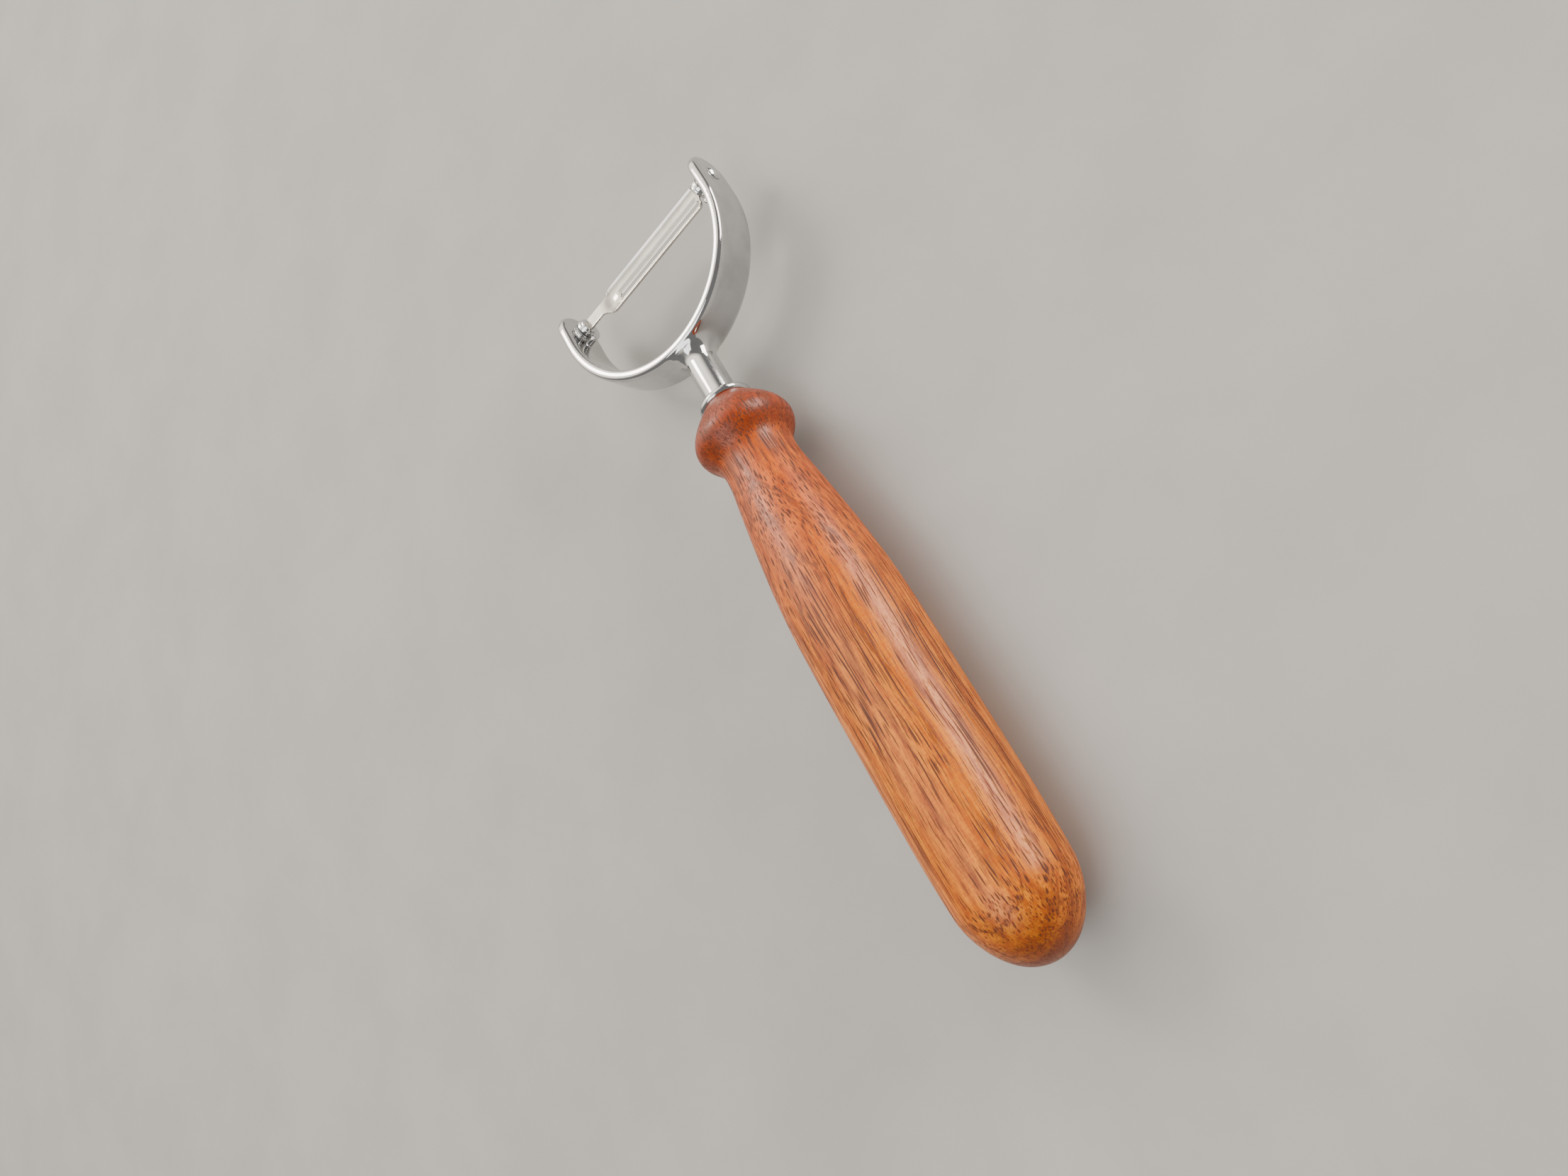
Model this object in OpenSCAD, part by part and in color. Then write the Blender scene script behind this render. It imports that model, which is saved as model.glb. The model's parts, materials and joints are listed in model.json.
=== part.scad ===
// Swivel vegetable peeler: a turned hardwood handle, a polished U-shaped bow on a short post,
// and a slotted blade that swings between the tips of the bow.
// The handle's axis lies along X with the bow at +X, Y runs across the bow and along the
// blade's pivot axis, and Z is up. The tool lies on the belly of its handle, which touches
// Z = 0, and the origin is under the middle of its bounding box. Left is +Y, and right is -Y.

/* [Handle] */
// Length of the turned wooden handle
handle_len = 152; // [148:1:156]
// Diameter of the handle at its belly
belly_d = 29.2; // [28.8:0.1:32]
// Diameter of the bead behind the collar
bead_d = 26.6; // [25.6:0.1:28.4]
// Diameter of the neck between the bead and the body
neck_d = 19.8; // [18.8:0.1:20.4]

/* [Collar and post] */
// Diameter of the chrome collar
collar_d = 14.6; // [13:0.1:16]
// Thickness of the collar
collar_t = 2.4; // [2:0.1:3]
// Diameter of the post between the collar and the bow
post_d = 8.7; // [8:0.1:9.5]
// Length of the post from the collar to the outside of the bow
post_len = 17.3; // [15:0.1:20]

/* [Bow] */
// Width over the two arms of the bow
bow_w = 62; // [60:1:66]
// Thickness of the bow's band
band_t = 3; // [2.8:0.1:3.2]
// Height of the bow's band
band_h = 13.2; // [12:0.1:14]
// Length of the straight arms from the round of the bow to the blade's pivot
arm_len = 4.9; // [4.6:0.1:7]

/* [Blade] */
// Width of the blade across its two edges
blade_w = 8.8; // [8:0.1:9]
// Thickness of the blade's sheet
blade_t = 0.7; // [0.6:0.1:0.8]
// Width of the slot between the two cutting edges
slot_w = 1.3; // [1:0.1:1.6]
// Angle of the blade below straight ahead as it hangs at rest
rest_angle = 98; // [90:1:108]

/* [Hidden] */
$fn = 96;
eps = 0.01;

// Main places along X, measured from the front face of the wood
bow_r = bow_w / 2;
bow_back_x = collar_t + post_len;
bow_x = bow_back_x + bow_r;
pivot_x = bow_x + arm_len;
tip_x = pivot_x + band_h / 2;
mid_x = (tip_x - handle_len) / 2;
axis_z = belly_d / 2;

// Turned outline of the handle: each stretch is a cubic curve between two of these places
front_r = 7;
bead_x = -9.7;
neck_x = -22.3;
swell_x = -64.8;
belly_x = -103;
shoulder_x = 16.5 - handle_len;
bead_r = bead_d / 2;
neck_r = neck_d / 2;
belly_r = belly_d / 2;
shoulder_r = belly_r - 0.58;
curve_steps = 12;

// Threaded joint inside the handle (threads are plain cylinders at their outer diameter)
stud_r = 2.5;
stud_back_x = -17;
stud_in_post = 10.5;
stud_chamfer = 0.5;
insert_r = 4.6;
insert_len = 18;
insert_sunk = 0.5;
insert_groove = 0.35;
insert_bands = 4;
bore_gap = 1.2;

// Bow details
band_edge_r = 1.25;
post_flare_r = 4.6;
post_root_depth = 0.7;
boss_r = 3;
boss_h = 0.6;
arm_inner_y = bow_r - band_t;
seat_y = arm_inner_y - boss_h;

// Pivot details; distances along Y are from the middle of the blade
journal_r = 1.5;
journal_gap = 0.05;
washer_r = 2.7;
washer_t = 0.6;
washer_bore_r = 1.6;
plate_gap = 0.2;
plate_t = 1.2;
plate_out_y = seat_y - washer_t - plate_gap;
plate_in_y = plate_out_y - plate_t;
hub_r = 2.4;
hub_t = 0.8;
hub_in_y = plate_in_y - hub_t;
head_gap = 0.15;
head_r = 2.3;
head_h = 1.2;
stop_r = 0.9;
stop_setback = 4.6;
stop_in_y = plate_in_y - 0.5;
swing_limit = 110;
swing_play = 0.7;
plate_disc_r = 2.8;
plate_lug_r = 4.3;
plate_half_angle = 180 - swing_limit - asin(stop_r / stop_setback) - swing_play;

// Blade details
channel_r = 7.3;
channel_out = 2.55;
channel_left_y = 13.8;
channel_right_y = -24.3;
neck_left_y = 19;
neck_half_w = 2;
tab_half_w = 1.5;
tab_end_y = plate_in_y + 0.5;
slot_left_y = 12.3;
slot_right_y = -22.6;
edge_bevel = 20;
step_left = 4;
step_right = 1.6;

// Point at t on the cubic curve with ends a and d and handles b and c
function curve_at(a, b, c, d, t) =
    pow(1 - t, 3) * a + 3 * pow(1 - t, 2) * t * b + 3 * (1 - t) * t * t * c + pow(t, 3) * d;

// Points of one curve after its first end; the steps grow with how_fine
function curve(a, b, c, d, how_fine = 1) =
    let (n = curve_steps * how_fine)
    [for (i = [1:n]) curve_at(a, b, c, d, i / n)];

// Half section of the handle as [radius, X], from the front face to the butt
function handle_outline() =
    let (
        front = [front_r, 0],
        bead = [bead_r, bead_x],
        fall = [neck_r + 0.8, -15.2],
        neck = [neck_r, neck_x],
        swell = [belly_r - 0.29, swell_x],
        belly = [belly_r, belly_x],
        shoulder = [shoulder_r, shoulder_x],
        butt = [0, -handle_len]
    )
    concat(
        [[0, 0], front],
        curve(front, front + [1.95, -2.3], bead + [0, 3.2], bead),
        curve(bead, bead + [0, -2.45], fall + [1.2, 1.85], fall),
        curve(fall, fall + [-1.35, -2.1], neck + [-0.06, 2], neck),
        curve(neck, neck + [0.04, -1.5], swell + [-0.53, 17.7], swell, 1.5),
        curve(swell, swell + [0.29, -9.7], belly + [0, 6], belly),
        curve(belly, belly + [0, -15.2], shoulder + [0.56, 10.2], shoulder),
        curve(shoulder, shoulder + [-0.33, -5.95], butt + [8.9, 0], butt, 1.5)
    );

// Puts a shape drawn about the handle's axis into the tool's own frame
module place() {
    translate([-mid_x, 0, axis_z]) children();
}

// Turns a shape drawn up the Z axis so that it runs along +X
module along_x() {
    rotate([0, 90, 0]) children();
}

// Turns a shape drawn up the Z axis so that it runs along Y, towards side 1 or -1
module along_y(side) {
    rotate([-90 * side, 0, 0]) children();
}

// Turned hardwood handle, drilled from its front face for the insert and the end of the stud
module handle() {
    color("#a9572a") place() difference() {
        along_x() rotate_extrude() polygon(handle_outline());
        translate([-insert_len - insert_sunk, 0, 0]) along_x()
            cylinder(r = insert_r, h = insert_len + insert_sunk + 1);
        translate([-insert_len - insert_sunk - bore_gap, 0, 0]) along_x()
            cylinder(r = stud_r, h = bore_gap + 1);
    }
}

// Brass insert glued into the handle, with plain grooves between its gripping bands
module threaded_insert() {
    pitch = insert_len / insert_bands;
    color("#c9a24a") place() translate([-insert_len - insert_sunk, 0, 0]) along_x() difference() {
        cylinder(r = insert_r, h = insert_len);
        translate([0, 0, -1]) cylinder(r = stud_r, h = insert_len + 2);
        for (i = [1:insert_bands - 1]) translate([0, 0, i * pitch - pitch / 8]) difference() {
            cylinder(r = insert_r + 1, h = pitch / 4);
            translate([0, 0, -1]) cylinder(r = insert_r - insert_groove, h = pitch / 4 + 2);
        }
    }
}

// Steel stud that joins the bow's post to the insert
module stud() {
    stud_len = collar_t + stud_in_post - stud_back_x;
    color("#8f9498") place() translate([stud_back_x, 0, 0]) along_x() union() {
        cylinder(r1 = stud_r - stud_chamfer, r2 = stud_r, h = stud_chamfer);
        translate([0, 0, stud_chamfer]) cylinder(r = stud_r, h = stud_len - 2 * stud_chamfer);
        translate([0, 0, stud_len - stud_chamfer])
            cylinder(r1 = stud_r, r2 = stud_r - stud_chamfer, h = stud_chamfer);
    }
}

// Chrome collar with a round rim, clamped between the post and the wood
module collar() {
    rim_r = collar_t / 2;
    color("#d3d6d8") place() along_x() rotate_extrude() difference() {
        union() {
            square([collar_d / 2 - rim_r, collar_t]);
            translate([collar_d / 2 - rim_r, rim_r]) circle(r = rim_r);
        }
        translate([-1, -1]) square([stud_r + 1, collar_t + 2]);
    }
}

// Section of the bow's band with rounded edges, from its inner face outwards
module band_section() {
    half_h = band_h / 2;
    translate([bow_r - band_t, 0]) union() {
        translate([0, band_edge_r - half_h]) square([band_t, band_h - 2 * band_edge_r]);
        translate([band_edge_r, -half_h]) square([band_t - 2 * band_edge_r, band_h]);
        for (x = [band_edge_r, band_t - band_edge_r], y = [-1, 1])
            translate([x, y * (half_h - band_edge_r)]) circle(r = band_edge_r, $fn = 32);
    }
}

// One straight arm, whose end is rounded about the pivot with the band's own edge section
module arm(side) {
    mirror([0, side < 0 ? 1 : 0, 0]) {
        translate([bow_x, 0, 0]) rotate([90, 0, 90]) linear_extrude(arm_len) band_section();
        translate([pivot_x, bow_r, 0]) rotate([90, 90, 0]) rotate_extrude(angle = 180)
            rotate([0, 0, -90]) intersection() {
                translate([-band_t, 0]) mirror([1, 0]) translate([-bow_r, 0]) band_section();
                translate([-band_t - 1, 0]) square([band_t + 2, band_h]);
            }
    }
}

// Round post that flares into the back of the bow and stays within the band's height
module post() {
    root_x = bow_back_x + post_root_depth;
    flare_x = root_x - post_flare_r;
    post_r = post_d / 2;
    intersection() {
        along_x() rotate_extrude() union() {
            translate([0, collar_t]) square([post_r, root_x - collar_t]);
            translate([0, flare_x]) difference() {
                square([post_r + post_flare_r, post_flare_r]);
                translate([post_r + post_flare_r, 0]) circle(r = post_flare_r);
            }
        }
        translate([0, -bow_r, band_edge_r / 2 - band_h / 2])
            cube([bow_x, bow_w, band_h - band_edge_r]);
    }
}

// Bow and post cast in one piece, with a seat, a bore and a stop peg on each arm
module bow() {
    color("#dfe1e3") place() difference() {
        union() {
            translate([bow_x, 0, 0]) rotate([0, 0, 90]) rotate_extrude(angle = 180) band_section();
            post();
            for (side = [-1, 1]) {
                arm(side);
                translate([pivot_x, side * (seat_y + boss_h + 1), 0]) along_y(-side)
                    cylinder(r = boss_r, h = boss_h + 1);
                translate([pivot_x - stop_setback, side * (arm_inner_y + 1), 0]) along_y(-side)
                    cylinder(r = stop_r, h = arm_inner_y + 1 - stop_in_y - stop_r / 2);
                translate([pivot_x - stop_setback, side * (stop_in_y + stop_r / 2), 0]) along_y(-side)
                    cylinder(r1 = stop_r, r2 = stop_r / 2, h = stop_r / 2);
            }
        }
        for (side = [-1, 1]) translate([pivot_x, side * (seat_y - 1), 0]) along_y(side)
            cylinder(r = journal_r + journal_gap, h = band_t + boss_h + 2);
        translate([collar_t - 1, 0, 0]) along_x() cylinder(r = stud_r, h = stud_in_post + 1);
    }
}

// Washer that keeps the pivot's plate off the arm
module spacer_washer(side) {
    color("#b9bdc0") place() translate([pivot_x, side * (seat_y - washer_t), 0]) along_y(side)
        difference() {
            cylinder(r = washer_r, h = washer_t);
            translate([0, 0, -1]) cylinder(r = washer_bore_r, h = washer_t + 2);
        }
}

// Fan-shaped stop plate, pointing along +X, that swings between the two sides of the stop peg
module stop_plate() {
    reach = 2 * plate_lug_r;
    side_x = reach * cos(plate_half_angle);
    side_y = reach * sin(plate_half_angle);
    linear_extrude(plate_t) union() {
        circle(r = plate_disc_r);
        intersection() {
            circle(r = plate_lug_r);
            polygon([[0, 0], [side_x, -side_y], [reach, -side_y], [reach, side_y], [side_x, side_y]]);
        }
    }
}

// Space that the blade's end tab takes up, ahead of its rest turn
module tab_space(side) {
    low_y = side > 0 ? hub_in_y - eps : -tab_end_y;
    translate([-blade_t / 2, low_y, -tab_half_w])
        cube([blade_t, tab_end_y - hub_in_y + eps, 2 * tab_half_w]);
}

// Pivot pin: a slotted hub and stop plate inside the arm, a journal in its bore and a domed head
module pivot_pin(side) {
    head_y = bow_r + head_gap;
    dome_r = (head_r * head_r + head_h * head_h) / (2 * head_h);
    color("#cfd2d4") place() translate([pivot_x, 0, 0]) rotate([0, rest_angle, 0]) difference() {
        union() {
            translate([0, side * hub_in_y, 0]) along_y(side) cylinder(r = hub_r, h = hub_t + eps);
            translate([0, side * plate_in_y, 0]) along_y(side) stop_plate();
            translate([0, side * plate_in_y, 0]) along_y(side)
                cylinder(r = journal_r, h = head_y - plate_in_y + eps);
            translate([0, side * head_y, 0]) along_y(side) intersection() {
                cylinder(r = head_r + 1, h = head_h + 1);
                translate([0, 0, head_h - dome_r]) sphere(r = dome_r);
            }
        }
        tab_space(side);
    }
}

// Outline of the blade seen from its convex side, as [Y, width]
module blade_outline() {
    half_w = blade_w / 2;
    polygon([[neck_left_y, neck_half_w], [channel_left_y, half_w], [channel_right_y, half_w],
             [channel_right_y, -half_w], [channel_left_y, -half_w], [neck_left_y, -neck_half_w]]);
}

// Curved channel of the blade, convex towards +X, cut to its outline
module blade_channel() {
    span = neck_left_y - channel_right_y;
    intersection() {
        translate([channel_out - channel_r, channel_right_y, 0]) along_y(1) difference() {
            cylinder(r = channel_r, h = span);
            translate([0, 0, -1]) cylinder(r = channel_r - blade_t, h = span + 2);
        }
        rotate([90, 0, 90]) linear_extrude(channel_out + 1) blade_outline();
    }
}

// Cranked strip from the floor of the channel to the end tab on one side
module blade_neck(side, start_y, step) {
    floor_x = channel_out - blade_t;
    half_t = blade_t / 2;
    step_y = start_y + step;
    translate([0, 0, -neck_half_w]) linear_extrude(2 * neck_half_w) polygon([
        [floor_x, side * (start_y - 1)],
        [channel_out, side * (start_y - 1)],
        [channel_out, side * (start_y + half_t / 2)],
        [half_t, side * (step_y + half_t / 2)],
        [half_t, side * hub_in_y],
        [-half_t, side * hub_in_y],
        [-half_t, side * (step_y - half_t / 2)],
        [floor_x, side * (start_y - half_t / 2)]
    ]);
}

// Slot between the cutting edges, bevelled so that both edges are sharp
module blade_slot() {
    slot_len = slot_left_y - slot_right_y - slot_w;
    translate([0, slot_right_y + slot_w / 2, 0]) rotate([90, 0, 90])
        linear_extrude(channel_out + 1) union() {
            translate([0, -slot_w / 2]) square([slot_len, slot_w]);
            for (end = [0, slot_len]) translate([end, 0]) circle(r = slot_w / 2, $fn = 32);
        }
    for (side = [-1, 1])
        translate([channel_out - blade_t, slot_right_y + slot_w / 2, side * slot_w / 2])
            rotate([0, -side * edge_bevel, 0]) translate([-1, 0, -side * slot_w / 2 - slot_w / 2])
            cube([1 + blade_t / 3, slot_len, slot_w]);
}

// Stainless blade: slotted channel with a long neck on the left and a short one on the right
module blade() {
    color("#c7cbce") place() translate([pivot_x, 0, 0]) rotate([0, rest_angle, 0]) difference() {
        union() {
            blade_channel();
            blade_neck(1, channel_left_y + 1.2, step_left);
            blade_neck(-1, -channel_right_y - step_right, step_right);
            for (side = [-1, 1]) tab_space(side);
        }
        blade_slot();
    }
}

handle();
threaded_insert();
stud();
collar();
bow();
spacer_washer(1);  // spacer_washer_left
spacer_washer(-1);  // spacer_washer_right
pivot_pin(1);  // pivot_pin_left
pivot_pin(-1);  // pivot_pin_right
blade();
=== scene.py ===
import json
import math

import bpy
import numpy as np
from mathutils import Matrix, Vector


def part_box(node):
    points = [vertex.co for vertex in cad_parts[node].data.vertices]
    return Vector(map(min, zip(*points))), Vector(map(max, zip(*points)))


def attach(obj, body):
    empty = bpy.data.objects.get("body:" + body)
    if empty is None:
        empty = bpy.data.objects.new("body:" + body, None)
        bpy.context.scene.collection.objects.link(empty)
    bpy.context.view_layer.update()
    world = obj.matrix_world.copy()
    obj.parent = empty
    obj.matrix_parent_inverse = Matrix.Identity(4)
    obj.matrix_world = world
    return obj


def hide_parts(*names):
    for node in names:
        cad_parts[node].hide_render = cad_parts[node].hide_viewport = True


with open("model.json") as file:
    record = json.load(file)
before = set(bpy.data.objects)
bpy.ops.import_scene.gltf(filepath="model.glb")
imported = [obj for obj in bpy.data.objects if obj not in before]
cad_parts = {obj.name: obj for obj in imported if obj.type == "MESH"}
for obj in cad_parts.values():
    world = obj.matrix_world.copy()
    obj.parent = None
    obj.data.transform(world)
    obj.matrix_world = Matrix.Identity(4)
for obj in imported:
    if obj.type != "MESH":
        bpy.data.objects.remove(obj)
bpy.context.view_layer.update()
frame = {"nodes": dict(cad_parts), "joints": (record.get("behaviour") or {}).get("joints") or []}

# Shapes are worked out in millimetres in the frame's own axes, and turned into metres at the end
MM = 0.001


def box_mm(node):
    low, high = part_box(node)
    return np.array(low) / MM, np.array(high) / MM


# ---------------------------------------------------------------- places, from the frame

wood_low, wood_high = box_mm("handle")
collar_low, collar_high = box_mm("collar")
bow_low, bow_high = box_mm("bow")
stud_low, stud_high = box_mm("stud")
insert_low, insert_high = box_mm("threaded_insert")
washer_low, washer_high = box_mm("spacer_washer_left")
pin_low, pin_high = box_mm("pivot_pin_left")

PIVOT_X = frame["joints"][0]["pos_m"][0] / MM
AXIS_Z = frame["joints"][0]["pos_m"][2] / MM
FRONT_X = wood_high[0]
HANDLE_LEN = wood_high[0] - wood_low[0]
BELLY_R = (wood_high[2] - wood_low[2]) / 2
COLLAR_R = (collar_high[2] - collar_low[2]) / 2
STUD_R = (stud_high[2] - stud_low[2]) / 2
INSERT_R = (insert_high[2] - insert_low[2]) / 2
BOW_R = bow_high[1]
BAND_H = bow_high[2] - bow_low[2]
SEAT_Y = washer_high[1]
HUB_Y = pin_low[1]
HEAD_TOP_Y = pin_high[1]

# ---------------------------------------------------------------- sizes of the details, mm

BAND_T = 3.0
BAND_EDGE_R = 1.25
BOW_ARM = 4.9
POST_R = 4.35
POST_END_R = 0.3
FLARE_R = 4.4
FLARE_EDGE_R = 1.3
FLARE_MARGIN = 0.7
FLARE_ROOT_R = 0.5
STUD_IN_POST = 10.5
BOSS_R = 3.0
BOSS_FILLET = 0.3
BORE_R = 1.55
PEG_R = 0.9
PEG_SETBACK = 4.6
PEG_PAST_PLATE = 0.5

JOURNAL_R = 1.5
HUB_R = 2.4
HUB_T = 0.8
PLATE_T = 1.2
PLATE_DISC_R = 2.8
PLATE_LUG_R = 4.3
PLATE_HALF_ANGLE = math.radians(58)
HEAD_R = 2.3
HEAD_GAP = 0.15
PIN_EDGE_R = 0.15

REST_ANGLE = math.radians(98)
BLADE_T = 0.7
BLADE_HALF_W = 4.4
CHANNEL_R = 7.3
CHANNEL_OUT = 2.55
CHANNEL_LEFT_Y = 13.8
CHANNEL_RIGHT_Y = -24.3
NECK_LEFT_Y = 19.0
NECK_HALF_W = 2.0
TAB_HALF_W = 1.5
SLOT_HALF_W = 0.65
SLOT_LEFT_Y = 12.3
SLOT_RIGHT_Y = -22.6
GRIND_W = 1.3
GRIND_DEPTH = 0.5
STEP_RIGHT = 1.5

THREAD_PITCH = 0.8
THREAD_DEPTH = 0.4
THREAD_CHAMFER = 0.6
KNURL_DEPTH = 0.3
KNURL_GROOVE = 0.35
KNURL_BANDS = 4
KNURL_TEETH = 30

# Size of the grid cells that the distance fields are sampled on, mm
BOW_CELL = 0.3
PIN_CELL = 0.14
BLADE_CELL = 0.15

BOW_X = PIVOT_X - BOW_ARM
BAND_MID_R = BOW_R - BAND_T / 2
POST_START_X = collar_high[0]
PLATE_Y = HUB_Y + HUB_T
TAB_END_Y = PLATE_Y + 0.5
HEAD_Y = BOW_R + HEAD_GAP
HEAD_H = HEAD_TOP_Y - HEAD_Y


# ---------------------------------------------------------------- solids as distance fields

def joined(a, b, fillet):
    """Both solids as one, with a round fillet in the corner between them."""
    overlap = np.hypot(np.maximum(fillet - a, 0), np.maximum(fillet - b, 0))
    return np.maximum(fillet, np.minimum(a, b)) - overlap


def shared(a, b, edge_r):
    """What both solids share, with its new edges rounded."""
    return -joined(-a, -b, edge_r)


def rounded_bar(across, along, half_across, half_along, edge_r):
    """Distance to a rectangle with rounded corners."""
    out_a = np.abs(across) - half_across + edge_r
    out_b = np.abs(along) - half_along + edge_r
    outside = np.hypot(np.maximum(out_a, 0), np.maximum(out_b, 0))
    return outside + np.minimum(np.maximum(out_a, out_b), 0) - edge_r


def rod(radius_at, start, end, place, radius, edge_r):
    """Distance to a round bar from start to end, where radius_at is the distance from its axis."""
    ends = np.abs(place - (start + end) / 2) - (end - start) / 2
    return shared(radius_at - radius, ends, edge_r)


def bow_field(x, y, z):
    """The bow: a U-shaped band with full-round ends, a flared post, and bosses, bores and pegs."""
    height = z - AXIS_Z
    from_middle = np.hypot(x - BOW_X, y)
    across = np.where(x < BOW_X, from_middle, np.abs(y)) - BAND_MID_R
    along = np.hypot(np.maximum(x - PIVOT_X, 0), height)
    band = rounded_bar(across, along, BAND_T / 2, BAND_H / 2, BAND_EDGE_R)

    band_back_x = BOW_X - BOW_R
    from_axis = np.hypot(y, height)
    post = rod(from_axis, POST_START_X, band_back_x + BAND_T / 2, x, POST_R, POST_END_R)
    flared = joined(post, band, FLARE_R)
    level = np.abs(height) - (BAND_H / 2 - FLARE_MARGIN)
    solid = joined(band, shared(flared, level, FLARE_EDGE_R), FLARE_ROOT_R)

    side = np.abs(y)
    from_pivot = np.hypot(x - PIVOT_X, height)
    boss = rod(from_pivot, SEAT_Y, BOW_R - BAND_T / 2, side, BOSS_R, BOSS_FILLET / 2)
    solid = joined(solid, boss, BOSS_FILLET)
    from_peg = np.hypot(x - PIVOT_X + PEG_SETBACK, height)
    peg_y = PLATE_Y - PEG_PAST_PLATE
    peg = rod(from_peg, peg_y, BOW_R - BAND_T / 2, side, PEG_R, PEG_R / 2)
    solid = joined(solid, peg, BOSS_FILLET)
    bore = np.maximum(from_pivot - BORE_R, BAND_MID_R - BAND_T - side)
    solid = shared(solid, -bore, PIN_EDGE_R)
    stud_hole = np.maximum(from_axis - STUD_R, x - POST_START_X - STUD_IN_POST)
    return shared(solid, -stud_hole, PIN_EDGE_R)


def pin_field(out, y, wide):
    """A pivot pin pointing along +y, in the blade's own axes."""
    from_axis = np.hypot(out, wide)
    hub = rod(from_axis, HUB_Y, PLATE_Y + PIN_EDGE_R, y, HUB_R, PIN_EDGE_R)
    wedge = np.abs(wide) * math.cos(PLATE_HALF_ANGLE) - out * math.sin(PLATE_HALF_ANGLE)
    lug = shared(from_axis - PLATE_LUG_R, wedge, 3 * PIN_EDGE_R)
    fan = joined(from_axis - PLATE_DISC_R, lug, PIN_EDGE_R)
    plate_end = np.abs(y - PLATE_Y - PLATE_T / 2) - PLATE_T / 2
    plate = shared(fan, plate_end, PIN_EDGE_R)
    journal = rod(from_axis, PLATE_Y, HEAD_Y + PIN_EDGE_R, y, JOURNAL_R, PIN_EDGE_R)
    dome_r = (HEAD_R * HEAD_R + HEAD_H * HEAD_H) / (2 * HEAD_H)
    dome = np.hypot(from_axis, y - HEAD_TOP_Y + dome_r) - dome_r
    head = shared(dome, HEAD_Y - y, PIN_EDGE_R)
    solid = joined(joined(hub, plate, PIN_EDGE_R), joined(journal, head, PIN_EDGE_R / 2), PIN_EDGE_R)
    slot = np.maximum(np.abs(out) - BLADE_T / 2, np.maximum(np.abs(wide) - TAB_HALF_W, y - TAB_END_Y))
    return np.maximum(solid, -slot)


def ramp(value, start, end):
    """Rises smoothly from 0 at start to 1 at end."""
    t = np.clip((value - start) / (end - start), 0, 1)
    return t * t * (3 - 2 * t)


def blade_crown(y, wide):
    """How far the blade's middle surface stands out from the pivot axis."""
    mid_r = CHANNEL_R - BLADE_T / 2
    arc = CHANNEL_OUT - CHANNEL_R + np.sqrt(mid_r ** 2 - np.minimum(wide ** 2, 0.9 * mid_r ** 2))
    pressed = ramp(y, NECK_LEFT_Y, CHANNEL_LEFT_Y + 0.6)
    pressed = pressed * ramp(y, CHANNEL_RIGHT_Y, CHANNEL_RIGHT_Y + STEP_RIGHT)
    return arc * pressed


def blade_field(out, y, wide):
    """The blade: one pressed sheet with a ground slot, a tapered neck and a tab at each end."""
    step = 0.01
    crown = blade_crown(y, wide)
    slope_y = (blade_crown(y + step, wide) - crown) / step
    slope_w = (blade_crown(y, wide + step) - crown) / step
    steepness = np.sqrt(1 + slope_y ** 2 + slope_w ** 2)
    in_slot = ramp(y, SLOT_LEFT_Y + 1, SLOT_LEFT_Y - 1) * ramp(y, SLOT_RIGHT_Y - 1, SLOT_RIGHT_Y + 1)
    ground = GRIND_DEPTH * in_slot * np.clip(1 - (np.abs(wide) - SLOT_HALF_W) / GRIND_W, 0, 1)
    outer_face = (out - crown) / steepness - BLADE_T / 2
    inner_face = (crown - out) / steepness - BLADE_T / 2 + ground
    sheet = np.maximum(outer_face, inner_face)

    taper = ramp(y, NECK_LEFT_Y, CHANNEL_LEFT_Y)
    beyond = np.abs(y) > HUB_Y - 0.15
    neck = np.where(beyond, TAB_HALF_W, NECK_HALF_W)
    half_w = np.where(y > CHANNEL_RIGHT_Y + 0.5, neck + (BLADE_HALF_W - neck) * taper, neck)
    channel_y = (CHANNEL_LEFT_Y + CHANNEL_RIGHT_Y) / 2
    channel_half = (CHANNEL_LEFT_Y - CHANNEL_RIGHT_Y) / 2
    plate = rounded_bar(y - channel_y, wide, channel_half, BLADE_HALF_W, 0.9)
    strip = np.maximum(np.abs(wide) - half_w, np.abs(y) - TAB_END_Y)
    outline = np.minimum(plate, strip)
    slot_mid = (SLOT_LEFT_Y + SLOT_RIGHT_Y) / 2
    slot_half = (SLOT_LEFT_Y - SLOT_RIGHT_Y) / 2
    slot = rounded_bar(y - slot_mid, wide, slot_half, SLOT_HALF_W, SLOT_HALF_W)
    return shared(sheet, np.maximum(outline, -slot), 0.08)


# ---------------------------------------------------------------- from a distance field to a mesh

def crossed_edges(field, axis):
    """The grid edges along one axis that the surface crosses, as points and rings of four cells."""
    near_side = [slice(None)] * 3
    far_side = [slice(None)] * 3
    near_side[axis] = slice(None, -1)
    far_side[axis] = slice(1, None)
    near, far = field[tuple(near_side)], field[tuple(far_side)]
    index = np.argwhere((near < 0) != (far < 0))
    near, far = near[tuple(index.T)], far[tuple(index.T)]
    points = index.astype(float)
    points[:, axis] += near / (near - far)
    ring = np.repeat(index[:, None, :], 4, axis=1)
    ring[:, 1:3, (axis + 1) % 3] -= 1
    ring[:, 2:4, (axis + 2) % 3] -= 1
    outward = near < 0
    ring[~outward] = ring[~outward][:, ::-1]
    return points, ring


def slope_of(field, points):
    """Value and gradient of a distance field at points."""
    step = 0.002
    x, y, z = points.T
    gradient = np.stack([
        field(x + step, y, z) - field(x - step, y, z),
        field(x, y + step, z) - field(x, y - step, z),
        field(x, y, z + step) - field(x, y, z - step),
    ], axis=1) / (2 * step)
    return field(x, y, z), gradient


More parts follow.
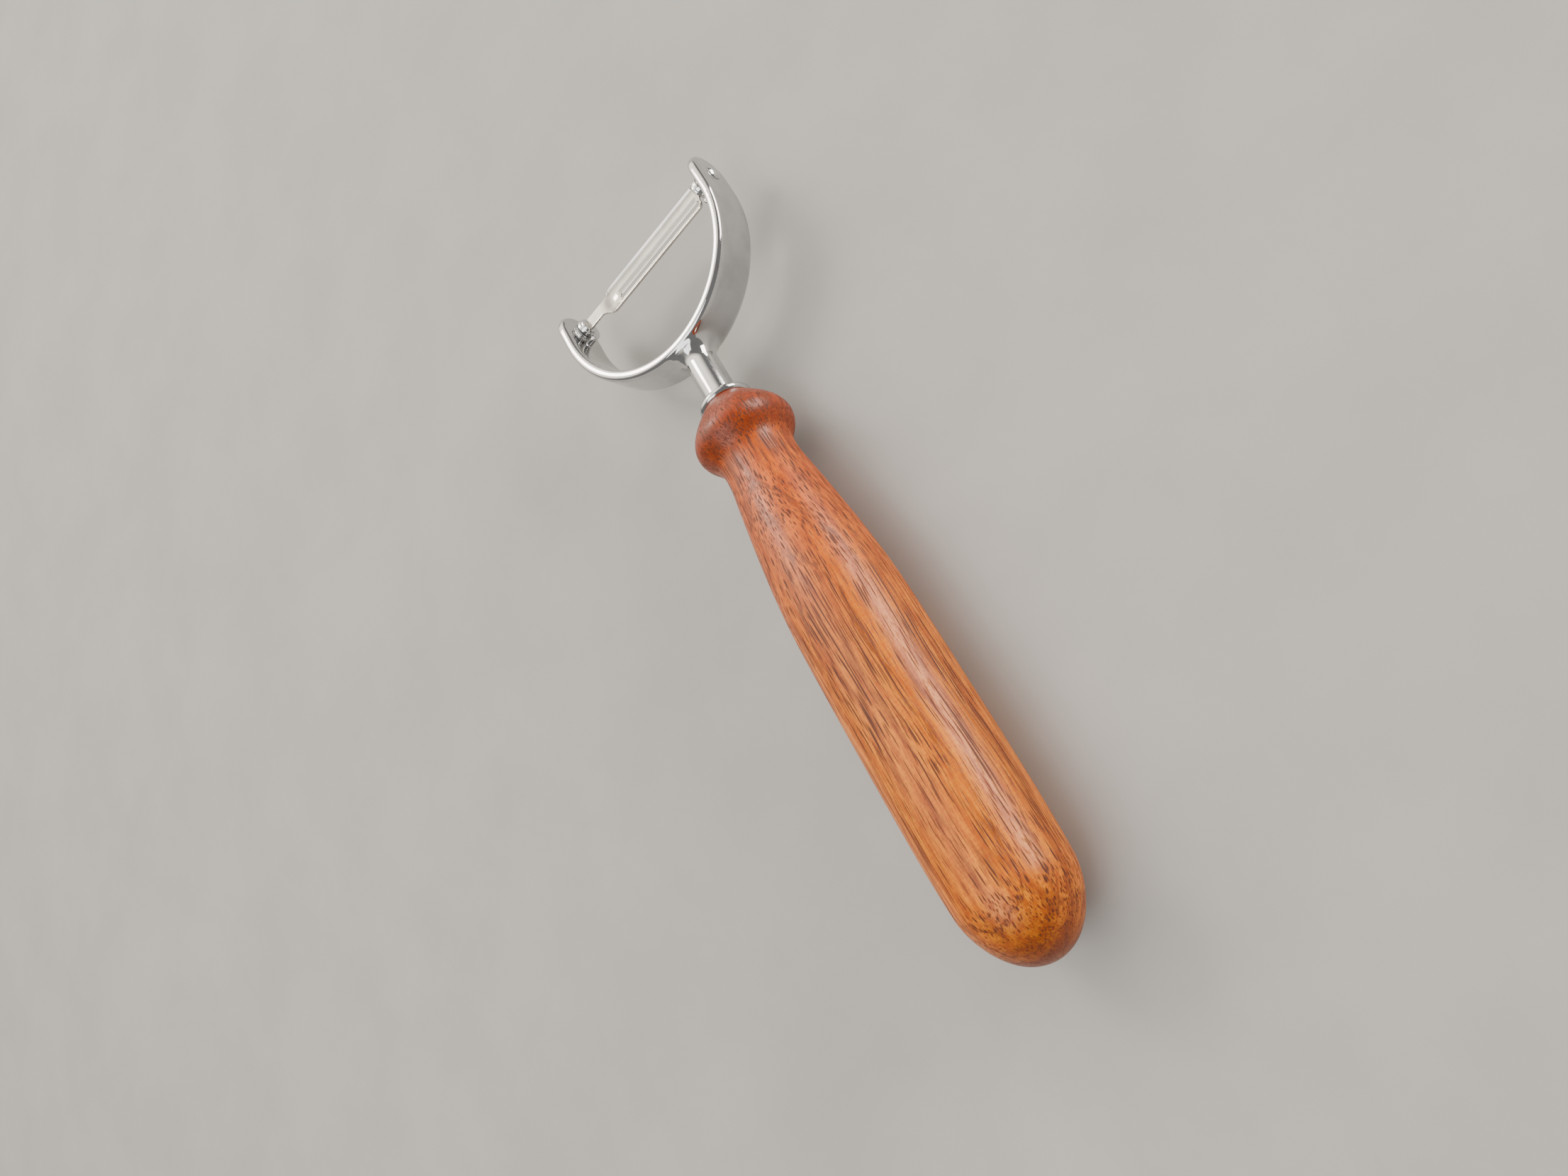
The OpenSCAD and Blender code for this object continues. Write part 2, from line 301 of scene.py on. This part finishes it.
def pulled_to(field, points, cell, rounds=3):
    """Points moved along the gradient until they lie on the surface."""
    for _ in range(rounds):
        value, gradient = slope_of(field, points)
        shift = value / np.maximum((gradient ** 2).sum(1), 0.1)
        shift = np.clip(shift, -cell / 2, cell / 2)
        points = points - shift[:, None] * gradient
    return points


def evened(points, faces):
    """Points moved to the middle of their neighbours, for even faces."""
    ends = np.concatenate([faces, np.roll(faces, 1, axis=1)])
    starts = np.concatenate([np.roll(faces, 1, axis=1), faces])
    count = np.bincount(starts.ravel(), minlength=len(points))
    total = [np.bincount(starts.ravel(), points[ends.ravel(), i], len(points)) for i in range(3)]
    return np.stack(total, axis=1) / count[:, None]


def solid_surface(field, low, high, cell):
    """Points, faces and normals of the surface where the distance field is zero."""
    low = np.array(low, float)
    counts = np.ceil((np.array(high) - low) / cell).astype(int) + 1
    x, y, z = (low[i] + cell * np.arange(counts[i]) for i in range(3))
    values = field(x[:, None, None], y[None, :, None], z[None, None, :])
    found = [crossed_edges(values, axis) for axis in range(3)]
    ring = np.concatenate([cells for _, cells in found])
    crossing = np.concatenate([np.repeat(points, 4, axis=0) for points, _ in found])
    numbers = np.ravel_multi_index(ring.reshape(-1, 3).T, counts)
    used, faces = np.unique(numbers, return_inverse=True)
    faces = faces.reshape(-1)
    count = np.bincount(faces, minlength=len(used))
    middle = [np.bincount(faces, crossing[:, i], len(used)) / count for i in range(3)]
    points = low + cell * np.stack(middle, axis=1)
    faces = faces.reshape(-1, 4)
    points = pulled_to(field, points, cell)
    for _ in range(2):
        points = pulled_to(field, evened(points, faces), cell)
    normals = slope_of(field, points)[1]
    normals /= np.linalg.norm(normals, axis=1)[:, None]
    return points, faces, normals


def turned_to_rest(points):
    """Points in the blade's own axes, put in the frame with the blade hanging at rest."""
    out, y, wide = points.T
    x = PIVOT_X + out * math.cos(REST_ANGLE) + wide * math.sin(REST_ANGLE)
    z = AXIS_Z - out * math.sin(REST_ANGLE) + wide * math.cos(REST_ANGLE)
    return np.stack([x, y, z], axis=1)


# ---------------------------------------------------------------- turned and threaded solids

def cubic(a, b, c, d, steps):
    """Points of a cubic curve after its first end."""
    t = np.linspace(0, 1, steps + 1)[1:, None]
    return (1 - t) ** 3 * a + 3 * (1 - t) ** 2 * t * b + 3 * (1 - t) * t ** 2 * c + t ** 3 * d


def handle_outline():
    """The handle's half section from the bottom of its bore round to the butt, as X and radius."""
    bead_r, neck_r = 13.3, 9.9
    butt_x = -HANDLE_LEN
    knots = [
        # X from the front face, radius, direction of the outline, reach before and after
        (-0.25, 7.15, (-1, 0.85), 0, 2.8),
        (-9.7, bead_r, (-1, 0), 3.2, 2.45),
        (-15.2, neck_r + 0.8, (-1, -0.65), 2.2, 2.5),
        (-22.3, neck_r, (-1, 0.03), 2, 1.5),
        (-64.8, BELLY_R - 0.29, (-1, 0.03), 17.7, 9.7),
        (-103.0, BELLY_R, (-1, 0), 6, 15.2),
        (16.5 + butt_x, BELLY_R - 0.58, (-1, -0.055), 10.2, 5.95),
        (butt_x, 0, (0, -1), 8.9, 0),
    ]
    bore_end = insert_low[0] - FRONT_X
    outline = [(bore_end - 1.2, 0), (bore_end - 1.2, STUD_R), (bore_end, STUD_R), (bore_end, INSERT_R),
               (-0.2, INSERT_R), (0, INSERT_R + 0.2), (0, 6.9)]
    outline = [np.array(outline)]
    for before, after in zip(knots, knots[1:]):
        start, end = np.array(before[:2]), np.array(after[:2])
        leave = np.array(before[2]) / np.hypot(*before[2]) * before[4]
        arrive = np.array(after[2]) / np.hypot(*after[2]) * after[3]
        length = np.hypot(*(end - start))
        if before is knots[0]:
            outline.append(start[None, :])
        outline.append(cubic(start, start + leave, end - arrive, end, max(8, round(length / 0.7))))
    outline = np.concatenate(outline)
    outline[:, 0] += FRONT_X
    return outline


def turned(outline, around=192):
    """A solid turned about the tool's axis from an outline that starts and ends on that axis."""
    inner = outline[1:-1]
    angle = np.linspace(0, 2 * math.pi, around, endpoint=False)
    x = np.repeat(inner[:, :1], around, axis=1)
    y = inner[:, 1:] * np.cos(angle)
    z = AXIS_Z + inner[:, 1:] * np.sin(angle)
    points = np.stack([x, y, z], axis=-1).reshape(-1, 3)
    rings = np.arange(len(points)).reshape(len(inner), around)
    after = np.roll(rings, -1, axis=1)
    faces = np.stack([rings[:-1], after[:-1], after[1:], rings[1:]], axis=-1).reshape(-1, 4).tolist()
    first, last = len(points), len(points) + 1
    caps = [(outline[0][0], 0, AXIS_Z), (outline[-1][0], 0, AXIS_Z)]
    faces += [(first, after[0, i], rings[0, i]) for i in range(around)]
    faces += [(last, rings[-1, i], after[-1, i]) for i in range(around)]
    return np.concatenate([points, caps]), faces


def ring_outline(outer, bore_r):
    """Closes an outer outline, as X and radius, with a straight bore."""
    return np.array([(outer[0][0], bore_r), *outer, (outer[-1][0], bore_r)])


def turned_ring(section, around=160):
    """A ring turned about the tool's axis from a closed section."""
    angle = np.linspace(0, 2 * math.pi, around, endpoint=False)
    x = np.repeat(section[:, :1], around, axis=1)
    y = section[:, 1:] * np.cos(angle)
    z = AXIS_Z + section[:, 1:] * np.sin(angle)
    return ring_faces(np.stack([x, y, z], axis=-1))


def ring_faces(grid):
    """Faces over a grid of points that closes on itself both ways."""
    count = np.arange(grid.shape[0] * grid.shape[1]).reshape(grid.shape[:2])
    right = np.roll(count, -1, axis=1)
    faces = np.stack([count, right, np.roll(right, -1, axis=0), np.roll(count, -1, axis=0)], axis=-1)
    return grid.reshape(-1, 3), faces.reshape(-1, 4)


def collar_section():
    """The collar's section: a straight bore and a full-round rim."""
    thick = collar_high[0] - collar_low[0]
    rim_r = thick / 2
    angle = np.linspace(-90, 90, 25)
    rim = [(collar_low[0] + rim_r + rim_r * math.sin(math.radians(a)),
            COLLAR_R - rim_r + rim_r * math.cos(math.radians(a))) for a in angle]
    return ring_outline(rim, STUD_R)


def thread_depth(x, angle):
    """Depth below the crests of a helical thread, at each place along X and each angle round it."""
    turn = (x[:, None] / THREAD_PITCH - angle[None, :] / (2 * math.pi)) % 1
    return THREAD_DEPTH * np.abs(2 * turn - 1)


def about_axis(x, radius, angle):
    """Points of a surface about the tool's axis, from its radius at each X and angle."""
    along = np.repeat(x[:, None], len(angle), axis=1)
    return np.stack([along, radius * np.cos(angle), AXIS_Z + radius * np.sin(angle)], axis=-1)


def stud_surface(around=48):
    """The stud, with a helical thread whose crests lie on its outer diameter."""
    step = THREAD_PITCH / 8
    x = np.arange(stud_low[0], stud_high[0] + step / 2, step)
    x = np.clip(x, stud_low[0], stud_high[0])
    angle = np.linspace(0, 2 * math.pi, around, endpoint=False)
    radius = STUD_R - thread_depth(x, angle)
    to_end = np.minimum(x - stud_low[0], stud_high[0] - x)[:, None]
    end_depth = THREAD_DEPTH + 0.1
    radius = np.minimum(radius, STUD_R - end_depth + to_end * end_depth / THREAD_CHAMFER)
    outline = np.concatenate([[[x[0], 0]], [[v, 1] for v in x], [[x[-1], 0]]])
    _, faces = turned(outline, around)
    caps = [(x[0], 0, AXIS_Z), (x[-1], 0, AXIS_Z)]
    return np.concatenate([about_axis(x, radius, angle).reshape(-1, 3), caps]), faces


def insert_surface(around=120):
    """The brass insert: a tube with a diamond knurl in bands and a threaded bore."""
    x = np.linspace(insert_low[0], insert_high[0], 181)
    angle = np.linspace(0, 2 * math.pi, around, endpoint=False)
    band_len = (x[-1] - x[0]) / KNURL_BANDS
    in_band = (x - x[0]) % band_len / band_len
    lean = KNURL_TEETH * angle[None, :] / (2 * math.pi)
    along = (x / 0.96)[:, None]
    diamond = np.abs((lean + along) % 1 - 0.5) + np.abs((lean - along) % 1 - 0.5)
    groove = np.where((in_band > 0.8) | (in_band < 0.06), KNURL_GROOVE, 0)[:, None]
    outer = INSERT_R - np.maximum(KNURL_DEPTH * (1 - diamond), groove)
    inner = STUD_R - thread_depth(x, angle)
    radius = np.concatenate([outer, inner[::-1]])
    return ring_faces(about_axis(np.concatenate([x, x[::-1]]), radius, angle))


# ---------------------------------------------------------------- pieces

def add_piece(name, points, faces, body, node, normals=None, sharp=35):
    """Makes one piece in metres, ties it to its body, and hides the node that it stands for."""
    mesh = bpy.data.meshes.new(name)
    faces = faces.tolist() if isinstance(faces, np.ndarray) else faces
    mesh.from_pydata((points * MM).tolist(), [], faces)
    mesh.shade_smooth()
    if normals is None:
        mesh.set_sharp_from_angle(angle=math.radians(sharp))
    else:
        mesh.normals_split_custom_set_from_vertices(normals.tolist())
    piece = bpy.data.objects.new(name, mesh)
    bpy.context.scene.collection.objects.link(piece)
    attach(piece, body)
    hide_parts(node)
    return piece


def make_handle():
    points, faces = turned(handle_outline())
    return add_piece("turned_handle", points, faces, "frame", "handle")


def make_collar():
    points, faces = turned_ring(collar_section())
    return add_piece("polished_collar", points, faces, "frame", "collar")


def make_stud():
    points, faces = stud_surface()
    return add_piece("threaded_stud", points, faces, "frame", "stud", sharp=50)


def make_insert():
    points, faces = insert_surface()
    return add_piece("knurled_insert", points, faces, "frame", "threaded_insert", sharp=50)


def make_bow():
    margin = 0.8
    points, faces, normals = solid_surface(bow_field, bow_low - margin, bow_high + margin, BOW_CELL)
    return add_piece("polished_bow", points, faces, "frame", "bow", normals)


def make_pin(side, name, node):
    low = (-PLATE_LUG_R - 0.5, HUB_Y - 0.5, -PLATE_LUG_R - 0.5)
    high = (PLATE_LUG_R + 0.5, HEAD_TOP_Y + 0.5, PLATE_LUG_R + 0.5)
    points, faces, _ = solid_surface(pin_field, low, high, PIN_CELL)
    points[:, 1] *= side
    if side < 0:
        faces = faces[:, ::-1]
    return add_piece(name, turned_to_rest(points), faces, "blade", node)


def make_blade():
    low = (-1, -TAB_END_Y - 0.5, -BLADE_HALF_W - 0.5)
    high = (CHANNEL_OUT + 0.7, TAB_END_Y + 0.5, BLADE_HALF_W + 0.5)
    points, faces, _ = solid_surface(blade_field, low, high, BLADE_CELL)
    points = turned_to_rest(points)
    return add_piece("pressed_blade", points, faces, "blade", "blade", sharp=40)


# ---------------------------------------------------------------- materials

class Look:
    """A material made from nodes, with short calls for the nodes that it needs."""

    def __init__(self, name):
        self.material = bpy.data.materials.new(name)
        self.material.use_nodes = True
        self.tree = self.material.node_tree
        self.shader = self.tree.nodes["Principled BSDF"]

    def feed(self, socket, value):
        if isinstance(value, bpy.types.NodeSocket):
            self.tree.links.new(value, socket)
        else:
            socket.default_value = value

    def node(self, kind, inputs=(), out=0, **settings):
        made = self.tree.nodes.new("ShaderNode" + kind)
        for key, value in settings.items():
            setattr(made, key, value)
        for key, value in dict(inputs).items():
            self.feed(made.inputs[key], value)
        return made.outputs[out]

    def place_mm(self):
        """Place on the object in millimetres."""
        place = self.node("TexCoord", out="Object")
        return self.node("VectorMath", {0: place, "Scale": 1000.0}, operation="SCALE")

    def mapped(self, vector, scale=(1, 1, 1), rotation=(0, 0, 0), location=(0, 0, 0)):
        turn = tuple(math.radians(a) for a in rotation)
        inputs = {"Vector": vector, "Scale": scale, "Rotation": turn, "Location": location}
        return self.node("Mapping", inputs)

    def noise(self, vector, scale=1.0, detail=2.0, roughness=0.5, out=0):
        return self.node("TexNoise", {"Vector": vector, "Scale": scale, "Detail": detail,
                                      "Roughness": roughness}, out=out)

    def math(self, operation, a, b=0.0):
        return self.node("Math", {0: a, 1: b}, operation=operation)

    def ramped(self, value, start, end, low=0.0, high=1.0):
        """Value moved smoothly from low to high as it goes from start to end."""
        inputs = {"Value": value, "From Min": start, "From Max": end, "To Min": low, "To Max": high}
        return self.node("MapRange", inputs, interpolation_type="SMOOTHSTEP")

    def mixed(self, share, first, second, blend="MIX"):
        """One colour mixed into another by share."""
        inputs = {0: share, 6: first, 7: second}
        return self.node("Mix", inputs, out=2, data_type="RGBA", blend_type=blend)

    def bumped(self, height, depth_mm, strength=1.0, normal=None):
        inputs = {"Height": height, "Distance": depth_mm * MM, "Strength": strength}
        if normal is not None:
            inputs["Normal"] = normal
        return self.node("Bump", inputs)

    def finish(self, **values):
        for key, value in values.items():
            self.feed(self.shader.inputs[key.replace("_", " ")], value)
        return self.material


def tone(red, green, blue):
    return (red, green, blue, 1.0)


def vessels(look, grain, length, width, place, size):
    """Dark pore lines: long cells along the grain, each with one thin vessel in its middle."""
    cells = look.mapped(grain, scale=(1 / length, 1 / width, 1 / width), location=place)
    from_line = look.node("TexVoronoi", {"Vector": cells, "Scale": 1.0}, out=0)
    inside = look.ramped(look.math("DIVIDE", from_line, size), 0.55, 1.0)
    return look.math("SUBTRACT", 1.0, inside)


def grain_axes(look, place):
    """Place in the wood's own axes: X along the grain, which leans a little and wanders."""
    grain = look.mapped(place, rotation=(0, 1.6, -1.2))
    drift = look.noise(look.mapped(grain, scale=(0.02, 0.06, 0.06)), detail=1.5, out=1)
    drift = look.node("VectorMath", {0: drift, 1: (0.5, 0.5, 0.5)}, operation="SUBTRACT")
    drift = look.node("VectorMath", {0: drift, 1: (0, 5, 5)}, operation="MULTIPLY")
    return look.node("VectorMath", {0: grain, 1: drift}, operation="ADD")


def growth_rings(look, grain):
    """Broad bands and thin late-wood lines: shells about a pith far below, ragged at the vessels."""
    from_pith = look.mapped(grain, scale=(0, 1, 1), location=(0, -4, 52))
    ring = look.node("VectorMath", {0: from_pith}, out=1, operation="LENGTH")
    along = look.node("SeparateXYZ", {0: grain}, out=0)
    ragged = look.noise(look.mapped(grain, scale=(0.10, 1.1, 1.1)), detail=3, roughness=0.6)
    ragged = look.math("MULTIPLY", look.math("SUBTRACT", ragged, 0.5), 1.6)
    ring = look.math("ADD", ring, ragged)
    ring_x, ring_y = look.math("MULTIPLY", ring, 0.42), look.math("MULTIPLY", along, 0.006)
    ring_place = look.node("CombineXYZ", {0: ring_x, 1: ring_y})
    band = look.noise(ring_place, scale=1.0, detail=3.0, roughness=0.6)
    within_ring = look.math("FRACT", look.math("MULTIPLY", ring, 0.24))
    from_line = look.math("ABSOLUTE", look.math("SUBTRACT", within_ring, 0.5))
    return band, look.ramped(from_line, 0.0, 0.05, 0.75, 0.0)


def streaked(look, streak, light, dark):
    return look.mixed(look.ramped(streak, 0.3, 0.7), light, dark)


def plain_wood(look, place, streak, band, end_grain):
    """Golden along the belly, orange at the neck, and red at the bead and on the end grain."""
    row_x = look.node("SeparateXYZ", {0: place}, out=0)
    towards_neck = look.ramped(row_x, -50.0, 15.0)
    towards_bead = look.ramped(row_x, 20.0, 36.0)
    golden = streaked(look, streak, tone(0.78, 0.245, 0.003), tone(0.42, 0.088, 0.002))
    golden = look.mixed(look.ramped(band, 0.5, 0.68, 0, 0.6), golden, tone(0.23, 0.042, 0.004))
    orange = streaked(look, streak, tone(0.66, 0.140, 0.003), tone(0.34, 0.052, 0.002))
    red = streaked(look, streak, tone(0.36, 0.052, 0.006), tone(0.17, 0.022, 0.004))
    colour = look.mixed(towards_bead, look.mixed(towards_neck, golden, orange), red)
    return look.mixed(look.math("MULTIPLY", end_grain, 0.7), colour, tone(0.19, 0.034, 0.007))


def wood_look():
    """Oiled hardwood: growth rings, stains, cross ripple and three sizes of dark vessels."""
    look = Look("oiled_wood")
    place = look.place_mm()
    grain = grain_axes(look, place)
    band, late_wood = growth_rings(look, grain)

    crowd = look.ramped(band, 0.35, 0.62)
    long_size = look.math("ADD", 0.30, look.math("MULTIPLY", crowd, 0.12))
    short_size = look.math("ADD", 0.26, look.math("MULTIPLY", crowd, 0.18))
    long_pores = vessels(look, grain, 34, 0.66, (0, 0, 0), long_size)
    short_pores = vessels(look, grain, 11, 0.5, (7, 3, 1), short_size)
    specks = vessels(look, grain, 2.4, 0.33, (2, 9, 4), 0.34)

    streak = look.noise(look.mapped(grain, scale=(0.05, 0.9, 0.9)), detail=4, roughness=0.65)
    stain_place = look.mapped(grain, scale=(0.055, 0.42, 0.42), location=(3, 5, 8))
    stain = look.noise(stain_place, detail=2, roughness=0.5)
    ripple = look.noise(look.mapped(grain, scale=(2.1, 0.55, 0.55)), detail=3, roughness=0.7)
    swell = look.noise(look.mapped(grain, scale=(0.08, 0.35, 0.35)))

    normal = look.node("TexCoord", out="Normal")
    end_grain = look.math("ABSOLUTE", look.node("SeparateXYZ", {0: normal}, out=0))
    end_grain = look.ramped(end_grain, 0.2, 0.95)
    lengthwise = look.math("SUBTRACT", 1.0, look.math("MULTIPLY", end_grain, 0.6))
    short_pores = look.math("MULTIPLY", short_pores, lengthwise)
    long_pores = look.math("MULTIPLY", long_pores, lengthwise)
    faint_specks = look.math("MULTIPLY", specks, 0.5)

    colour = plain_wood(look, place, streak, band, end_grain)
    colour = look.mixed(look.ramped(stain, 0.54, 0.66, 0, 0.6), colour, tone(0.19, 0.042, 0.012))
    rippled = look.ramped(ripple, 0.35, 0.65, 0, 0.75)
    colour = look.mixed(rippled, colour, tone(0.40, 0.30, 0.25), "SOFT_LIGHT")
    colour = look.mixed(late_wood, colour, tone(0.13, 0.030, 0.010))
    colour = look.mixed(faint_specks, colour, tone(0.16, 0.038, 0.012))
    colour = look.mixed(look.math("MULTIPLY", short_pores, 0.85), colour, tone(0.085, 0.018, 0.006))
    colour = look.mixed(look.math("MULTIPLY", long_pores, 0.92), colour, tone(0.060, 0.013, 0.005))

    pores = look.math("MAXIMUM", long_pores, look.math("MAXIMUM", short_pores, faint_specks))
    bump = look.bumped(look.math("SUBTRACT", 1.0, pores), 0.05, 0.5)
    bump = look.bumped(swell, 0.06, 0.4, bump)
    bump = look.bumped(ripple, 0.012, 0.4, bump)
    rough = look.math("ADD", look.ramped(streak, 0.3, 0.7, 0.30, 0.40), look.math("MULTIPLY", pores, 0.2))
    return look.finish(Base_Color=colour, Roughness=rough, Normal=bump, Specular_IOR_Level=0.4)


def chrome_look(name, base, dark, roughness, smear_mm):
    """Polished plating: soft waves left by buffing, hazy smears and a few fine rub marks."""
    look = Look(name)
    place = look.place_mm()
    haze = look.noise(look.mapped(place, scale=(1 / smear_mm,) * 3), detail=3, roughness=0.6)
    rub_place = look.mapped(place, scale=(0.4, 2.2, 5.0), rotation=(20, 35, 50))
    rub = look.noise(rub_place, detail=5, roughness=0.75)
    colour = look.mixed(look.ramped(haze, 0.35, 0.7), base, dark)
    rough = look.math("ADD", look.ramped(haze, 0.35, 0.75, roughness, roughness + 0.05),
                      look.ramped(rub, 0.55, 0.8, 0.0, 0.05))
    wave = look.noise(look.mapped(place, scale=(0.14,) * 3), detail=1)
    bump = look.bumped(wave, 0.05, 0.35)
    bump = look.bumped(rub, 0.004, 0.3, bump)
    return look.finish(Base_Color=colour, Metallic=1.0, Roughness=rough, Normal=bump)


def blade_look():
    """Stainless strip: a fine grain from polishing along the blade and a soft mottled haze."""
    look = Look("stainless_blade")
    place = look.place_mm()
    brush = look.noise(look.mapped(place, scale=(9.0, 0.25, 9.0)), detail=4, roughness=0.7)
    haze = look.noise(look.mapped(place, scale=(0.3, 0.12, 0.3)), detail=3)
    colour = look.mixed(look.ramped(haze, 0.35, 0.7), tone(0.66, 0.635, 0.59), tone(0.54, 0.515, 0.48))
    rough = look.math("ADD", look.ramped(brush, 0.3, 0.7, 0.14, 0.24), look.ramped(haze, 0.5, 0.8, 0, 0.06))
    bump = look.bumped(brush, 0.004, 0.35)
    return look.finish(Base_Color=colour, Metallic=1.0, Roughness=rough, Normal=bump)


def turned_metal_look(name, light, dark, roughness):
    """Machined metal: fine tool rings about the tool's axis and a mottled tarnish."""
    look = Look(name)
    place = look.place_mm()
    rings = look.noise(look.mapped(place, scale=(14.0, 0.3, 0.3)), detail=3, roughness=0.6)
    tarnish = look.noise(look.mapped(place, scale=(0.7,) * 3), detail=4, roughness=0.6)
    colour = look.mixed(look.ramped(tarnish, 0.35, 0.7), light, dark)
    rough = look.ramped(rings, 0.3, 0.7, roughness, roughness + 0.15)
    bump = look.bumped(rings, 0.01, 0.4)
    return look.finish(Base_Color=colour, Metallic=1.0, Roughness=rough, Normal=bump)


def floor_look():
    look = Look("pale_floor")
    place = look.place_mm()
    mottle = look.noise(look.mapped(place, scale=(0.02,) * 3), detail=4, roughness=0.6)
    colour = look.mixed(look.ramped(mottle, 0.3, 0.7), tone(0.41, 0.405, 0.395), tone(0.375, 0.37, 0.36))
    grit = look.noise(look.mapped(place, scale=(1.5,) * 3), detail=3)
    return look.finish(Base_Color=colour, Roughness=0.75, Normal=look.bumped(grit, 0.05, 0.2))


def wear(piece, material):
    piece.data.materials.clear()
    piece.data.materials.append(material)


# ---------------------------------------------------------------- camera, floor and lights

CAMERA_AT = (-0.1254, -0.1124, 0.2367)
CAMERA_RIGHT = (-0.44754, -0.65318, -0.61079)
CAMERA_UP = (0.78380, -0.61534, 0.08374)
CAMERA_LENS = 27.05
FLOOR_HALF = 4.0
GLOW_FROM = (0.68, 0.30, 0.66)
GLOW_STRENGTH = 2.7


def make_camera():
    """The photograph's own viewing direction, distance and roll."""
    data = bpy.data.cameras.new("camera")
    data.lens = CAMERA_LENS
    data.clip_start = 0.01
    camera = bpy.data.objects.new("camera", data)
    bpy.context.scene.collection.objects.link(camera)
    right, up = Vector(CAMERA_RIGHT), Vector(CAMERA_UP)
    turn = Matrix((right, up, right.cross(up))).transposed().to_4x4()
    camera.matrix_world = Matrix.Translation(CAMERA_AT) @ turn
    bpy.context.scene.camera = camera


def make_floor():
    half = FLOOR_HALF
    corners = [(-half, -half, 0), (half, -half, 0), (half, half, 0), (-half, half, 0)]
    mesh = bpy.data.meshes.new("floor")
    mesh.from_pydata(corners, [], [(0, 1, 2, 3)])
    floor = bpy.data.objects.new("floor", mesh)
    bpy.context.scene.collection.objects.link(floor)
    wear(floor, floor_look())


def make_world():
    """A dim soft room with one wide, warm glow above the head of the tool."""
    world = bpy.data.worlds.new("soft_room")
    world.use_nodes = True
    tree = world.node_tree
    place = tree.nodes.new("ShaderNodeTexCoord")
    towards = tree.nodes.new("ShaderNodeVectorMath")
    towards.operation = "DOT_PRODUCT"
    towards.inputs[1].default_value = Vector(GLOW_FROM).normalized()
    blend = tree.nodes.new("ShaderNodeValToRGB")
    blend.color_ramp.interpolation = "EASE"
    blend.color_ramp.elements[0].position = 0.55
    blend.color_ramp.elements[0].color = (0.10, 0.098, 0.095, 1)
    blend.color_ramp.elements[1].position = 0.92
    blend.color_ramp.elements[1].color = (1.0, 0.92, 0.80, 1)
    tree.links.new(place.outputs["Generated"], towards.inputs[0])
    tree.links.new(towards.outputs["Value"], blend.inputs[0])
    tree.links.new(blend.outputs[0], tree.nodes["Background"].inputs[0])
    tree.nodes["Background"].inputs[1].default_value = GLOW_STRENGTH
    bpy.context.scene.world = world


def add_softbox(name, place, size, power, warmth):
    data = bpy.data.lights.new(name, "AREA")
    data.shape = "RECTANGLE"
    data.size, data.size_y = size
    data.energy = power
    data.color = warmth
    light = bpy.data.objects.new(name, data)
    light.location = place
    light.rotation_mode = "QUATERNION"
    light.rotation_quaternion = (-Vector(place)).to_track_quat("-Z", "Y")
    bpy.context.scene.collection.objects.link(light)


def make_lights():
    warm, neutral = (1.0, 0.93, 0.84), (1.0, 0.98, 0.96)
    add_softbox("low_window", (0.27, -0.94, 0.22), (0.8, 0.4), 14, warm)
    add_softbox("top_panel", (0.72, 0.36, 0.70), (0.30, 0.30), 4, warm)
    add_softbox("overhead", (-0.45, 0.25, 1.0), (0.7, 0.7), 6, neutral)


# ---------------------------------------------------------------- the whole scene

make_camera()
chrome = chrome_look("polished_chrome", tone(0.60, 0.60, 0.60), tone(0.50, 0.50, 0.505), 0.06, 9)
small_chrome = chrome_look("pin_plating", tone(0.68, 0.685, 0.69), tone(0.58, 0.585, 0.59), 0.08, 3)
wear(make_handle(), wood_look())
wear(make_collar(), chrome)
wear(make_bow(), chrome)
wear(make_stud(), turned_metal_look("stud_steel", tone(0.52, 0.53, 0.55), tone(0.42, 0.43, 0.45), 0.25))
wear(make_insert(), turned_metal_look("turned_brass", tone(0.78, 0.56, 0.24), tone(0.62, 0.42, 0.16), 0.22))
wear(make_pin(1, "swivel_pin_left", "pivot_pin_left"), small_chrome)
wear(make_pin(-1, "swivel_pin_right", "pivot_pin_right"), small_chrome)
wear(make_blade(), blade_look())
washer_look = turned_metal_look("washer_steel", tone(0.62, 0.63, 0.64), tone(0.50, 0.51, 0.52), 0.2)
for side in ("left", "right"):
    wear(frame["nodes"]["spacer_washer_" + side], washer_look)
make_floor()
make_world()
make_lights()
